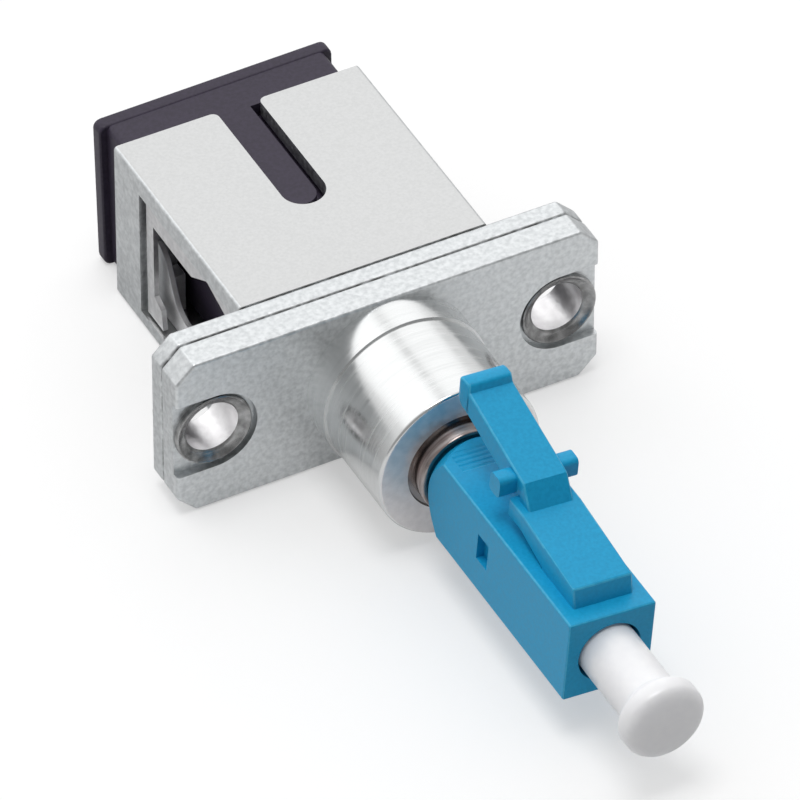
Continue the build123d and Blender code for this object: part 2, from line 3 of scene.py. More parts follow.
import bmesh
import bpy
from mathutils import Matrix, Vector


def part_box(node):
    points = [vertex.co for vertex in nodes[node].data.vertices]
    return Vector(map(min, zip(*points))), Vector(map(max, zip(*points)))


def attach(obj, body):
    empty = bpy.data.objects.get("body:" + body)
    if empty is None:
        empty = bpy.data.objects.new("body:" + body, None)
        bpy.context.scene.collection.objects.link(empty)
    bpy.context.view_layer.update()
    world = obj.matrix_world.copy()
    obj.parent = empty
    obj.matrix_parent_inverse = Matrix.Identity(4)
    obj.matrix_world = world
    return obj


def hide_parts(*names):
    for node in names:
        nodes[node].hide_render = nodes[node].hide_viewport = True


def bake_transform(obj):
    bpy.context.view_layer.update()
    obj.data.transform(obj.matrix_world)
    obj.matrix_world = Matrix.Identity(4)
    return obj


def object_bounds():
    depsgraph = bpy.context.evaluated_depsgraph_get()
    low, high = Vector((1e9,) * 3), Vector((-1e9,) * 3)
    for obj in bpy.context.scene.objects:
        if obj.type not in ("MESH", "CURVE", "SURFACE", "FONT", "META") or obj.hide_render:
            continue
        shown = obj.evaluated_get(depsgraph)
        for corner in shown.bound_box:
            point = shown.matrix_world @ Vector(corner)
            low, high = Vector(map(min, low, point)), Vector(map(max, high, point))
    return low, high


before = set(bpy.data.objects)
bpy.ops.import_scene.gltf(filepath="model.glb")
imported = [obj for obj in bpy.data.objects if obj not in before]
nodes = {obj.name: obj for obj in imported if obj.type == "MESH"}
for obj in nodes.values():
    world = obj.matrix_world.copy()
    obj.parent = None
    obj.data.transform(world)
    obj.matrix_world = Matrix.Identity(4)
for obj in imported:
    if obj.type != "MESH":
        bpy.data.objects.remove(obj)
cad_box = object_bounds()

# Camera: a long lens far off, above the left front corner, as in the photograph.
# Its place and its aim were solved from the corners of the flange, the socket body and the covers.
eye = Vector((-0.17192, -0.33243, 0.33079))
aim = Vector((0.000024, -0.003618, -0.001002))
camera_data = bpy.data.cameras.new("camera")
camera_data.lens = 484.1
camera_data.sensor_width = 36.0
camera_data.clip_start = 0.05
camera_data.clip_end = 20.0
camera = bpy.data.objects.new("camera", camera_data)
bpy.context.scene.collection.objects.link(camera)
camera.location = eye
camera.rotation_euler = (aim - eye).to_track_quat("-Z", "Y").to_euler()
bpy.context.scene.camera = camera
bpy.context.scene.view_settings.view_transform = "Standard"

# Floor: a plain pale board under the adapter, which lies on its socket body and its flange.
# The camera and the metal see the board lighter, as on a lit photo table, and its shadow stays.
# For the metal it is brighter in front, which the flange and the boss face mirror.
floor_size = 3.0
board_tone, board_roughness, board_specular = 0.6, 0.9, 0.1
lit_for_camera, lit_for_metal = 0.4, 0.24
dim_behind_y, bright_before_y = 0.003, -0.004
bpy.ops.object.select_all(action="DESELECT")
bpy.ops.mesh.primitive_plane_add(size=floor_size, location=(0, 0, cad_box[0].z))
floor = bpy.context.object
floor.name = "floor"
bpy.ops.object.transform_apply(location=True, rotation=False, scale=False)
board = bpy.data.materials.new("pale_board")
board.use_nodes = True
board_tree = board.node_tree
board_shader = board_tree.nodes["Principled BSDF"]
board_shader.inputs["Base Color"].default_value = (board_tone, board_tone, board_tone, 1)
board_shader.inputs["Roughness"].default_value = board_roughness
board_shader.inputs["Specular IOR Level"].default_value = board_specular


def reckon(tree, how, *values):
    """The result of one sum on sockets and numbers."""
    step = tree.nodes.new("ShaderNodeMath")
    step.operation = how
    for socket, value in zip(step.inputs, values):
        if isinstance(value, float):
            socket.default_value = value
        else:
            tree.links.new(value, socket)
    return step.outputs["Value"]


def spread(tree, value, start, end, low, high):
    """Goes from low to high as value goes from start to end, and stays there beyond."""
    span = tree.nodes.new("ShaderNodeMapRange")
    for name, number in zip(("From Min", "From Max", "To Min", "To Max"), (start, end, low, high)):
        span.inputs[name].default_value = number
    tree.links.new(value, span.inputs["Value"])
    return span.outputs["Result"]


def along_axis(tree):
    """The place on a piece along the adapter's axis."""
    axes = tree.nodes.new("ShaderNodeSeparateXYZ")
    tree.links.new(tree.nodes.new("ShaderNodeTexCoord").outputs["Object"], axes.inputs["Vector"])
    return axes.outputs["Y"]


seen_by = board_tree.nodes.new("ShaderNodeLightPath").outputs
towards_front = spread(
    board_tree, along_axis(board_tree), dim_behind_y, bright_before_y, 0.0, lit_for_metal
)
seen_in_gloss = reckon(board_tree, "ADD", seen_by["Is Glossy Ray"], seen_by["Is Transmission Ray"])
table_light = reckon(
    board_tree,
    "ADD",
    reckon(board_tree, "MULTIPLY", seen_by["Is Camera Ray"], lit_for_camera),
    reckon(board_tree, "MULTIPLY", seen_in_gloss, towards_front),
)
board_shader.inputs["Emission Color"].default_value = (1, 1, 1, 1)
board_tree.links.new(table_light, board_shader.inputs["Emission Strength"])
floor.data.materials.append(board)


# Studio light: two soft panels side by side behind and above, and a small one overhead.
# Round them is an even sky that is darker below and towards the front. Metal sees its dim side
# a little lighter, so that it isn't black from behind.
def soft_panel(name, place, width, height, strength):
    """A flat lamp at place, turned to the adapter, with its brightness as strength."""
    lamp = bpy.data.lights.new(name, "AREA")
    lamp.shape = "RECTANGLE"
    lamp.size = width
    lamp.size_y = height
    lamp.energy = strength * math.pi * width * height
    panel = bpy.data.objects.new(name, lamp)
    bpy.context.scene.collection.objects.link(panel)
    panel.location = place
    panel.rotation_euler = (-Vector(place)).to_track_quat("-Z", "Y").to_euler()


soft_panel("panel_behind_right", (0.52, 0.88, 0.84), width=0.62, height=0.9, strength=0.42)
soft_panel("panel_behind_left", (-0.45, 0.88, 0.88), width=0.84, height=0.9, strength=0.54)
soft_panel("panel_above", (-0.15, -0.05, 1.4), width=0.6, height=0.6, strength=5.8)

sky_up = (0.0, 0.75, 0.66)
sky_dim, sky_bright, sky_bright_from = 0.12, 0.95, 0.6
least_in_metal = 0.4
mix_first, mix_second, mix_result = 6, 7, 2  # the colour sockets of a Mix node
sky = bpy.data.worlds.new("studio")
bpy.context.scene.world = sky
sky.use_nodes = True
sky_tree = sky.node_tree
sky_lean = sky_tree.nodes.new("ShaderNodeVectorMath")
sky_lean.operation = "DOT_PRODUCT"
sky_lean.inputs[1].default_value = sky_up
sky_tree.links.new(
    sky_tree.nodes.new("ShaderNodeTexCoord").outputs["Generated"], sky_lean.inputs[0]
)
sky_ramp = sky_tree.nodes.new("ShaderNodeValToRGB")
for stop, position, tone in zip(
    sky_ramp.color_ramp.elements, (0.0, sky_bright_from), (sky_dim, sky_bright)
):
    stop.position = position
    stop.color = (tone, tone, tone, 1)
sky_tree.links.new(sky_lean.outputs["Value"], sky_ramp.inputs["Fac"])
sky_gloss = sky_tree.nodes.new("ShaderNodeMix")
sky_gloss.data_type = "RGBA"
sky_gloss.blend_type = "LIGHTEN"
sky_gloss.inputs[mix_second].default_value = (least_in_metal, least_in_metal, least_in_metal, 1)
sky_tree.links.new(
    sky_tree.nodes.new("ShaderNodeLightPath").outputs["Is Glossy Ray"], sky_gloss.inputs["Factor"]
)
sky_tree.links.new(sky_ramp.outputs["Color"], sky_gloss.inputs[mix_first])
sky_tree.links.new(sky_gloss.outputs[mix_result], sky_tree.nodes["Background"].inputs["Color"])

# Socket body: die-cast zinc with satin nickel plating, in one with the rear half of the flange.
# Mouth, chamber, side windows, key slot and fixing holes are cored out of the casting.
mm = 0.001
over = 1.0 * mm  # how far a core runs out of what it opens
touch = 0.01 * mm  # how near to a plane an edge or a face counts as lying on it
aligned = 0.9  # how much of a direction lies along an axis that it counts as following


def named(name):
    """Names the piece just added and moves its place from its object into its mesh."""
    piece = bpy.context.object
    piece.name = name
    bpy.ops.object.transform_apply(location=True, rotation=True, scale=True)
    return piece


def block(name, low, high):
    """A block between two corners, to be shaped further."""
    low, high = Vector(low), Vector(high)
    bpy.ops.mesh.primitive_cube_add(size=1, location=(low + high) / 2)
    bpy.context.object.scale = high - low
    return named(name)


def chain(name, x, stations, closed=False, segments=96):
    """A turned form on an axis along Y at x, drawn out through stations of (y, radius).

    A closed chain comes back to its first station, as a tube does; the others get end faces."""
    y, radius = stations[0]
    bpy.ops.mesh.primitive_circle_add(
        vertices=segments,
        radius=radius,
        fill_type="NOTHING",
        location=(x, y, 0),
        rotation=(math.pi / 2, 0, 0),
    )
    piece = named(name)
    bpy.ops.object.mode_set(mode="EDIT")
    bpy.ops.mesh.select_mode(type="VERT")
    bpy.ops.mesh.select_all(action="SELECT")
    if not closed:
        bpy.ops.mesh.edge_face_add()
    for next_y, next_radius in stations[1:] + stations[:1] * closed:
        bpy.ops.mesh.extrude_region_move()
        bpy.ops.transform.translate(value=(0, next_y - y, 0))
        share = next_radius / radius
        bpy.ops.transform.resize(value=(share, 1, share), center_override=(x, next_y, 0))
        y, radius = next_y, next_radius
    bpy.ops.mesh.select_all(action="SELECT")
    if closed:
        bpy.ops.mesh.remove_doubles(threshold=touch / 10)
    bpy.ops.mesh.normals_make_consistent(inside=False)
    bpy.ops.object.mode_set(mode="OBJECT")
    return piece


def lengthwise(middle, way):
    """Whether an edge runs along the adapter."""
    return abs(way.y) > aligned


def crosswise(middle, way):
    """Whether an edge lies in a face across the adapter."""
    return abs(way.y) < 1 - aligned


def round_edges(piece, width, wanted, segments):
    """Bevels the edges for which wanted(middle, way) holds."""
    bpy.context.view_layer.objects.active = piece
    bpy.ops.object.mode_set(mode="EDIT")
    bpy.ops.mesh.select_mode(type="EDGE")
    bpy.ops.mesh.select_all(action="DESELECT")
    shape = bmesh.from_edit_mesh(piece.data)
    for edge in shape.edges:
        start, end = (corner.co for corner in edge.verts)
        edge.select_set(bool(wanted((start + end) / 2, (end - start).normalized())))
    bmesh.update_edit_mesh(piece.data)
    bpy.ops.mesh.bevel(offset=width, segments=segments, affect="EDGES")
    bpy.ops.object.mode_set(mode="OBJECT")


def combine(piece, other, how):
    """Joins other to piece by UNION, cuts it out by DIFFERENCE, or keeps what both share."""
    change = piece.modifiers.new("combine", "BOOLEAN")
    change.operation = how
    change.solver = "EXACT"
    change.object = other
    bpy.context.view_layer.objects.active = piece
    bpy.ops.object.modifier_apply(modifier=change.name)
    bpy.data.objects.remove(other)


def core_out(piece, low, high):
    """Cuts a block between two corners out of a piece."""
    combine(piece, block("core", low, high), "DIFFERENCE")


def shade(piece):
    """Shades flat faces flat and curved ones smooth."""
    sharp = math.radians(32)
    bpy.ops.object.select_all(action="DESELECT")
    piece.select_set(True)
    bpy.context.view_layer.objects.active = piece
    bpy.ops.object.shade_smooth_by_angle(angle=sharp)
    flat_faces = piece.modifiers.new("flat_faces", "WEIGHTED_NORMAL")
    flat_faces.keep_sharp = True
    bpy.ops.object.modifier_apply(modifier=flat_faces.name)
    piece.select_set(False)


def flange_plate(name, low_y, high_y):
    """One half of the flange, with cut corners and its outline rounded on both faces."""
    piece = block(
        name,
        (socket_low.x, low_y, -flange_half_height),
        (socket_high.x, high_y, flange_half_height),
    )
    round_edges(piece, flange_corner, lengthwise, segments=1)
    round_edges(piece, plate_round / 2, lengthwise, segments=3)
    round_edges(piece, plate_round, crosswise, segments=4)
    return piece


def at_slot_mouth(middle, way):
    """Whether an edge is an upright corner where the key slot meets the mouth."""
    upright = abs(way.z) > aligned
    return upright and middle.y > mouth_y - touch and abs(middle.x) < slot_half + touch


socket_low, socket_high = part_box("sc_housing")
seam_y, mouth_y = socket_low.y, socket_high.y
body_half, body_foot_y = 6.45 * mm, -0.02 * mm
flange_half_height = 4.45 * mm
flange_corner = 0.96 * mm
plate_round = 0.16 * mm
mouth_half, mouth_half_height = 4.5 * mm, 3.7 * mm
chamber_half = 6.3 * mm
window_top = 3.5 * mm
post_y = mouth_y - 2.55 * mm
slot_half = 1.1 * mm
slot_end_y = mouth_y - 7.85 * mm
slot_mouth_round = 0.35 * mm
body_round = 0.2 * mm
hole_x = socket_high.x - 2.0 * mm
rivet_radius = 1.55 * mm
rivet_head = 1.95 * mm
rivet_head_depth = 0.3 * mm

socket_body = block(
    "socket_body", (-body_half, body_foot_y, socket_low.z), (body_half, mouth_y, socket_high.z)
)
round_edges(socket_body, body_round, lengthwise, segments=4)
combine(socket_body, flange_plate("rear_plate", seam_y, 0), "UNION")
core_out(
    socket_body,
    (-mouth_half, seam_y - over, -mouth_half_height),
    (mouth_half, mouth_y + over, mouth_half_height),
)
core_out(
    socket_body,
    (-chamber_half, seam_y - over, -mouth_half_height),
    (chamber_half, post_y, mouth_half_height),
)
core_out(
    socket_body,
    (-body_half - over, 0, -mouth_half_height),
    (body_half + over, post_y, window_top),
)
core_out(
    socket_body,
    (-slot_half, slot_end_y + slot_half, 0),
    (slot_half, mouth_y + over, socket_high.z + over),
)
bpy.ops.mesh.primitive_cylinder_add(
    vertices=64,
    radius=slot_half,
    depth=socket_high.z + over,
    location=(0, slot_end_y + slot_half, socket_high.z),
)
combine(socket_body, named("core"), "DIFFERENCE")
round_edges(socket_body, slot_mouth_round, at_slot_mouth, segments=5)
for side in (-1, 1):
    rivet_hole = chain("core", side * hole_x, [
        (seam_y - over, rivet_radius),
        (-rivet_head_depth, rivet_radius),
        (-rivet_head_depth, rivet_head),
        (over, rivet_head),
    ])
    combine(socket_body, rivet_hole, "DIFFERENCE")
shade(socket_body)


def uneven(tree, spots, detail, stretch=(1, 1, 1)):
    """Noise with so many spots per metre, drawn out along an axis by a small stretch."""
    mapping = tree.nodes.new("ShaderNodeMapping")
    mapping.inputs["Scale"].default_value = stretch
    noise = tree.nodes.new("ShaderNodeTexNoise")
    noise.inputs["Scale"].default_value = spots
    noise.inputs["Detail"].default_value = detail
    tree.links.new(tree.nodes.new("ShaderNodeTexCoord").outputs["Object"], mapping.inputs["Vector"])
    tree.links.new(mapping.outputs["Vector"], noise.inputs["Vector"])
    return noise.outputs[0]


def new_finish(
    name,
    dark,
    light,
    spots,
    roughness,
    metal=0.0,
    specular=0.5,
    detail=2.0,
    stretch=(1, 1, 1),
    depth=0.0,
):
    """A finish coloured from dark to light over a grain with so many spots per metre.

    Its roughness is one number, or two that follow the grain. Depth is the grain's relief."""
    finish = bpy.data.materials.new(name)
    finish.use_nodes = True
    tree = finish.node_tree
    shader = tree.nodes["Principled BSDF"]
    shader.inputs["Metallic"].default_value = metal
    shader.inputs["Specular IOR Level"].default_value = specular
    grain = uneven(tree, spots, detail, stretch)
    ramp = tree.nodes.new("ShaderNodeValToRGB")
    grain_low, grain_high = 0.35, 0.65
    for stop, position, colour in zip(
        ramp.color_ramp.elements, (grain_low, grain_high), (dark, light)
    ):
        stop.position = position
        stop.color = (*colour, 1)
    tree.links.new(grain, ramp.inputs["Fac"])
    tree.links.new(ramp.outputs["Color"], shader.inputs["Base Color"])
    if isinstance(roughness, tuple):
        least, most = 0.3, 0.7
        rough = spread(tree, grain, least, most, *roughness)
        tree.links.new(rough, shader.inputs["Roughness"])
    else:
        shader.inputs["Roughness"].default_value = roughness
    if depth:
        bump = tree.nodes.new("ShaderNodeBump")
        bump.inputs["Distance"].default_value = depth
        tree.links.new(grain, bump.inputs["Height"])
        tree.links.new(bump.outputs["Normal"], shader.inputs["Normal"])
    return finish


def painted_joint_shade(finish, line_y, half_width, tone):
    """Darkens a finish in speckles along a line across it at line_y: painted shade in a joint."""
    tree = finish.node_tree
    coloured = tree.nodes["Principled BSDF"].inputs["Base Color"]
    distance = reckon(tree, "ABSOLUTE", reckon(tree, "SUBTRACT", along_axis(tree), line_y))
    thick_to = 0.3 * half_width
    near = spread(tree, distance, thick_to, half_width, 1.0, 0.0)
    unshaded_below, shaded_above = 0.3, 0.6
    speckle = uneven(tree, spots=2200, detail=4.0)
    specks = spread(tree, speckle, unshaded_below, shaded_above, 0.0, 1.0)
    mix = tree.nodes.new("ShaderNodeMix")
    mix.data_type = "RGBA"
    mix.inputs[mix_second].default_value = (tone, tone, tone, 1)
    tree.links.new(reckon(tree, "MULTIPLY", near, specks), mix.inputs["Factor"])
    tree.links.new(coloured.links[0].from_socket, mix.inputs[mix_first])
    tree.links.new(mix.outputs[mix_result], coloured)


def fit(piece, body, slot, finish, *stands_for):
    """Gives a piece its finish and sets it in place of CAD nodes, on their body if one is named."""
    piece.data.materials.clear()
    piece.data.materials.append(finish)
    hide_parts(*stands_for)
    if body:
        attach(piece, body)


def second_finish(piece, finish, wanted):
    """Gives another finish to the faces for which wanted(middle, normal) holds."""
    piece.data.materials.append(finish)
    bpy.context.view_layer.objects.active = piece
    piece.active_material_index = len(piece.data.materials) - 1
    bpy.ops.object.mode_set(mode="EDIT")
    bpy.ops.mesh.select_mode(type="FACE")
    bpy.ops.mesh.select_all(action="DESELECT")
    shape = bmesh.from_edit_mesh(piece.data)
    for face in shape.faces:
        face.select_set(bool(wanted(face.calc_center_median(), face.normal)))
    bmesh.update_edit_mesh(piece.data)
    bpy.ops.object.material_slot_assign()
    bpy.ops.object.mode_set(mode="OBJECT")


cast_metal = new_finish(
    "cast_metal",
    dark=(0.54, 0.545, 0.545),
    light=(0.6, 0.605, 0.605),
    spots=7000,
    detail=4.0,
    metal=1.0,
    roughness=(0.28, 0.4),
    depth=0.004 * mm,
)
rough_cast = new_finish(
    "rough_cast",
    dark=(0.56, 0.58, 0.59),
    light=(0.74, 0.76, 0.77),
    spots=3800,
    detail=5.0,
    metal=1.0,
    roughness=(0.34, 0.5),
    depth=0.01 * mm,
)
# Painted shade: a dark speckled line in the seam between the flange plates, and a lighter one in
# the corner where the body meets the flange.
painted_joint_shade_half_width = 0.09 * mm
painted_joint_shade(rough_cast, seam_y, painted_joint_shade_half_width, tone=0.16)
painted_joint_shade(rough_cast, body_foot_y, painted_joint_shade_half_width, tone=0.4)
fit(socket_body, "adapter", "cast_metal", cast_metal, "sc_housing")
second_finish(
    socket_body, rough_cast, lambda middle, normal: abs(normal.z) < aligned or middle.y < 0
)

# Nose: front half of the flange with the round boss, die-cast zinc. The boss is turned bright
# all round and faced off; the rest stays as cast.
# The pockets for the rivet heads run out at the ends of the plate.
nose_low, nose_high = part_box("nose_housing")
plate_front_y = seam_y - 1.55 * mm
boss_face_y = nose_low.y
boss_foot_y = seam_y - 0.3 * mm
boss_root, boss_step_y, boss_radius = 4.28 * mm, plate_front_y - 1.66 * mm, 4.18 * mm
boss_round = 0.16 * mm
pocket_radius, pocket_floor_y = 2.15 * mm, plate_front_y + 0.4 * mm
ring_seat, ring_rear_y = 2.7 * mm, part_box("retaining_ring")[1].y
neck_bore, neck_bore_end_y = 2.45 * mm, ring_rear_y + 1.55 * mm
barrel_bore = 1.8 * mm


def rounded_rim(face_y, radius, size, steps):
    """Stations round the rim of a turned end at face_y, from its side to its face."""
    turns = [math.radians(90 / steps * i) for i in range(steps + 1)]
    return [
        (face_y + size * (1 - math.sin(turn)), radius - size * (1 - math.cos(turn)))
        for turn in turns
    ]


nose = flange_plate("nose", plate_front_y, seam_y)
boss = chain("boss", 0, [
    (boss_foot_y, boss_root),
    (boss_step_y, boss_root),
    (boss_step_y, boss_radius),
    *rounded_rim(boss_face_y, boss_radius, boss_round, steps=4),
])
combine(nose, boss, "UNION")
bore = chain("core", 0, [
    (boss_face_y - over, ring_seat),
    (ring_rear_y, ring_seat),
    (ring_rear_y, neck_bore),
    (neck_bore_end_y, neck_bore),
    (neck_bore_end_y, barrel_bore),
    (seam_y + over, barrel_bore),
])
combine(nose, bore, "DIFFERENCE")
for side in (-1, 1):
    pocket = chain("core", side * hole_x, [
        (plate_front_y - over, pocket_radius),
        (pocket_floor_y, pocket_radius),
        (pocket_floor_y, rivet_radius),
        (seam_y + over, rivet_radius),
    ])
    combine(nose, pocket, "DIFFERENCE")
    inner_x, outer_x = sorted((side * hole_x, side * (nose_high.x + over)))
    core_out(
        nose,
        (inner_x, plate_front_y - over, -pocket_radius),
        (outer_x, pocket_floor_y, pocket_radius),
    )
shade(nose)

turned_metal = new_finish(
    "turned_metal",
    dark=(0.66, 0.67, 0.67),
    light=(0.74, 0.75, 0.75),
    spots=500,
    detail=4.0,
    stretch=(0.3, 10.0, 0.3),
    metal=1.0,
    roughness=(0.16, 0.3),
    depth=0.0025 * mm,
)
faced_metal = new_finish(
    "faced_metal",
    dark=(0.78, 0.74, 0.73),
    light=(0.86, 0.82, 0.81),
    spots=2500,
    detail=3.0,
    metal=1.0,
    roughness=(0.4, 0.5),
)
fit(nose, "adapter", "turned_metal", rough_cast, "nose_housing")
second_finish(nose, turned_metal, lambda middle, normal: middle.y < plate_front_y - touch)
second_finish(
    nose, faced_metal, lambda middle, normal: normal.y < -aligned and middle.y < boss_step_y - over
)

# Eyelets: hollow rivets of bright plated steel that hold the two halves together.
# Each is rolled over into a dished head in its pocket and flared flush behind.
rivet_bore, rivet_flare = 1.35 * mm, 0.07 * mm
rolled_head = (  # height over the pocket's floor, radius
    (0, rivet_bore),
    (0.05 * mm, rivet_bore + 0.05 * mm),
    (0.1 * mm, rivet_bore + 0.16 * mm),
    (0.2 * mm, rivet_head - 0.2 * mm),
    (0.27 * mm, rivet_head - 0.14 * mm),
    (0.3 * mm, rivet_head - 0.08 * mm),
    (0.27 * mm, rivet_head - 0.02 * mm),
    (0.2 * mm, rivet_head),
    (0, rivet_head),
)
# Bore and head are the same plated steel: the bore's finish is painted light, and the dished head's
# is painted dark as painted shade and reflection.
bore_painted_light = new_finish(
    "bore_painted_light",
    dark=(0.85, 0.84, 0.85),
    light=(0.92, 0.91, 0.92),
    spots=2500,
    metal=1.0,
    roughness=0.38,
    depth=0.02 * mm,
)
head_painted_dark = new_finish(
    "head_painted_dark",
    dark=(0.2, 0.2, 0.2),
    light=(0.42, 0.42, 0.42),
    spots=1800,
    detail=4.0,
    metal=1.0,
    roughness=0.26,
    depth=0.01 * mm,
)
for name, side in (("eyelet_left", -1), ("eyelet_right", 1)):
    eyelet = chain(name + "_rolled", side * hole_x, [
        (-rivet_flare, rivet_bore),
        *((pocket_floor_y - height, radius) for height, radius in rolled_head),
        (pocket_floor_y, rivet_radius),
        (-rivet_head_depth, rivet_radius),
        (-rivet_head_depth, rivet_head),
        (0, rivet_head),
        (0, rivet_bore + rivet_flare),
    ], closed=True, segments=64)
    shade(eyelet)
    # The head takes the painted shade and the bore the painted light.
    fit(eyelet, "adapter", "eyelet_metal", head_painted_dark, name)
    second_finish(
        eyelet,
        bore_painted_light,
        lambda middle, normal: math.hypot(middle.x - side * hole_x, middle.z) < rivet_bore + touch,
    )

# Retaining ring: turned steel with a brown-grey skin, pressed into the boss mouth.
# It keeps the collar of the small plug in, and its lip reaches to the plug and hides the neck.
ring_front_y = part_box("retaining_ring")[0].y
ring_bore, ring_bevel = 2.0 * mm, 0.04 * mm
ring_lip, lip_round, lip_round_middle = 2.4 * mm, 0.1 * mm, 0.03 * mm
lip_rear_y, seat_bevel = boss_face_y + 0.15 * mm, 0.05 * mm
ring = chain("neck_ring", 0, [
    (ring_front_y, ring_bore + ring_bevel),
    (ring_front_y, ring_lip - lip_round),
    (ring_front_y + lip_round_middle, ring_lip - lip_round_middle),
    (ring_front_y + lip_round, ring_lip),
    (lip_rear_y, ring_lip),
    (lip_rear_y, ring_seat - seat_bevel),
    (lip_rear_y + seat_bevel, ring_seat),
    (ring_rear_y, ring_seat),
    (ring_rear_y, ring_bore),
    (ring_front_y + ring_bevel, ring_bore),
], closed=True)
shade(ring)
brown_metal = new_finish(
    "brown_metal",
    dark=(0.2, 0.16, 0.15),
    light=(0.5, 0.47, 0.46),
    spots=900,
    detail=3.0,
    stretch=(0.4, 4.0, 0.4),
    metal=1.0,
    roughness=0.24,
)
fit(ring, "adapter", "ring_metal", brown_metal, "retaining_ring")


# Inner frame and the turned parts inside: grey satin metal. The frame's base plate sits in the
# flange, with a light side frame behind each window, and the holder bears on a bright wire spring.
# The hooks are stamped from bright strip, one arm on each side, and hold what is plugged in.
def dress(node, finish):
    """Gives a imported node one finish."""
    mesh = nodes[node].data
    mesh.materials.clear()
    mesh.materials.append(finish)


grey_metal = new_finish(
    "grey_metal",
    dark=(0.64, 0.64, 0.65),
    light=(0.76, 0.76, 0.77),
    spots=3000,
    metal=1.0,
    roughness=0.36,
)
bright_metal = new_finish(
    "bright_metal",
    dark=(0.6, 0.61, 0.62),
    light=(0.72, 0.73, 0.74),
    spots=2500,
    metal=1.0,
    roughness=0.12,
)
spring_strip = new_finish(
    "spring_strip",
    dark=(0.88, 0.88, 0.89),
    light=(0.95, 0.95, 0.96),
    spots=2000,
    metal=1.0,
    roughness=0.5,
)
for name in ("inner_frame", "sleeve_tube", "ferrule_holder", "spring_bush"):
    dress(name, grey_metal)
dress("ferrule_spring", bright_metal)
for name in ("hook_left", "hook_right"):
    dress(name, spring_strip)

# Small plug: moulded blue plastic, square with a round neck behind and an open nose in front.
# The latch's root, a shallow recess and a few fine grooves are part of the moulding.
# Its neck and collar are held in the boss by the ring, a little turned, as in the photograph.
plug_roll = math.radians(4.5)
plug_half = 2.21 * mm
plug_front_y, plug_rear_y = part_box("lc_housing")[0].y, boss_face_y - 1.0 * mm
plug_round, nose_round = 0.12 * mm, 0.1 * mm
plug_shoulder = (  # distance from the rear end, share of half the plug's width
    (1.62 * mm, 1.6),
    (1.2 * mm, 1.4),
    (0.6 * mm, 1.2),
    (0.2 * mm, 1.05),
    (0, 0.97),
)
flat_sides_end_y = plug_rear_y - 1.8 * mm
neck_radius, neck_foot_y = 1.9 * mm, plug_rear_y - 0.5 * mm
collar_radius, collar_rear_y, collar_length = 2.4 * mm, neck_bore_end_y, 1.5 * mm
nose_bore, web_front_y = 1.6 * mm, plug_front_y + 3.2 * mm
web_bore, web_rear_y = 0.8245 * mm, web_front_y + 0.8 * mm
chamber_bore = 1.55 * mm
latch_half, latch_round, latch_lean = 1.52 * mm, 0.1 * mm, 0.29 * mm
latch_front_y = plug_front_y + 0.9 * mm
hinge_y = latch_front_y + 3.1 * mm
root_foot, root_top = plug_half - 0.3 * mm, plug_half + 1.0 * mm
slab_front_y, slab_length, slab_rise = latch_front_y + latch_lean, 4.94 * mm, 0.54 * mm
slab_at_hinge = root_top + slab_rise / slab_length * (hinge_y - slab_front_y)
recess_y, recess_half_length = plug_rear_y - 5.3 * mm, 0.5 * mm
recess_z, recess_half_height, recess_depth = 0.2 * mm, 0.7 * mm, 0.4 * mm
groove_count, groove_pitch, groove_radius, groove_length = 5, 0.3 * mm, 0.16 * mm, 3.2 * mm
first_groove_y = plug_rear_y - 0.7 * mm
groove_z = plug_half + 0.8 * groove_radius


def bar(name, half_width, stations):
    """A bar drawn out along Y through stations of (y, low, high)."""
    y, low, high = stations[0]
    bpy.ops.mesh.primitive_plane_add(
        size=1, location=(0, y, (low + high) / 2), rotation=(math.pi / 2, 0, 0)
    )
    bpy.context.object.scale = (2 * half_width, high - low, 1)
    piece = named(name)
    bpy.ops.object.mode_set(mode="EDIT")
    bpy.ops.mesh.select_mode(type="VERT")
    bpy.ops.mesh.select_all(action="SELECT")
    for next_y, next_low, next_high in stations[1:]:
        next_middle = (next_low + next_high) / 2
        share = (next_high - next_low) / (high - low)
        bpy.ops.mesh.extrude_region_move()
        bpy.ops.transform.translate(value=(0, next_y - y, next_middle - (low + high) / 2))
        bpy.ops.transform.resize(value=(1, 1, share), center_override=(0, next_y, next_middle))
        y, low, high = next_y, next_low, next_high
    bpy.ops.mesh.select_all(action="SELECT")
    bpy.ops.mesh.normals_make_consistent(inside=False)
    bpy.ops.object.mode_set(mode="OBJECT")
    return piece


def shift_corners(piece, step, wanted):
    """Moves the corners for which wanted(place) holds."""
    bpy.context.view_layer.objects.active = piece
    bpy.ops.object.mode_set(mode="EDIT")
    bpy.ops.mesh.select_mode(type="VERT")
    bpy.ops.mesh.select_all(action="DESELECT")
    shape = bmesh.from_edit_mesh(piece.data)
    for corner in shape.verts:
        corner.select_set(bool(wanted(corner.co)))
    bmesh.update_edit_mesh(piece.data)
    bpy.ops.transform.translate(value=step)
    bpy.ops.object.mode_set(mode="OBJECT")


def roll_about_axis(piece, angle):
    """Turns a piece about the adapter's axis and leaves the turn in its mesh."""
    piece.rotation_euler.y = angle
    bpy.ops.object.select_all(action="DESELECT")
    piece.select_set(True)
    bpy.context.view_layer.objects.active = piece
    bpy.ops.object.transform_apply(location=True, rotation=True, scale=True)


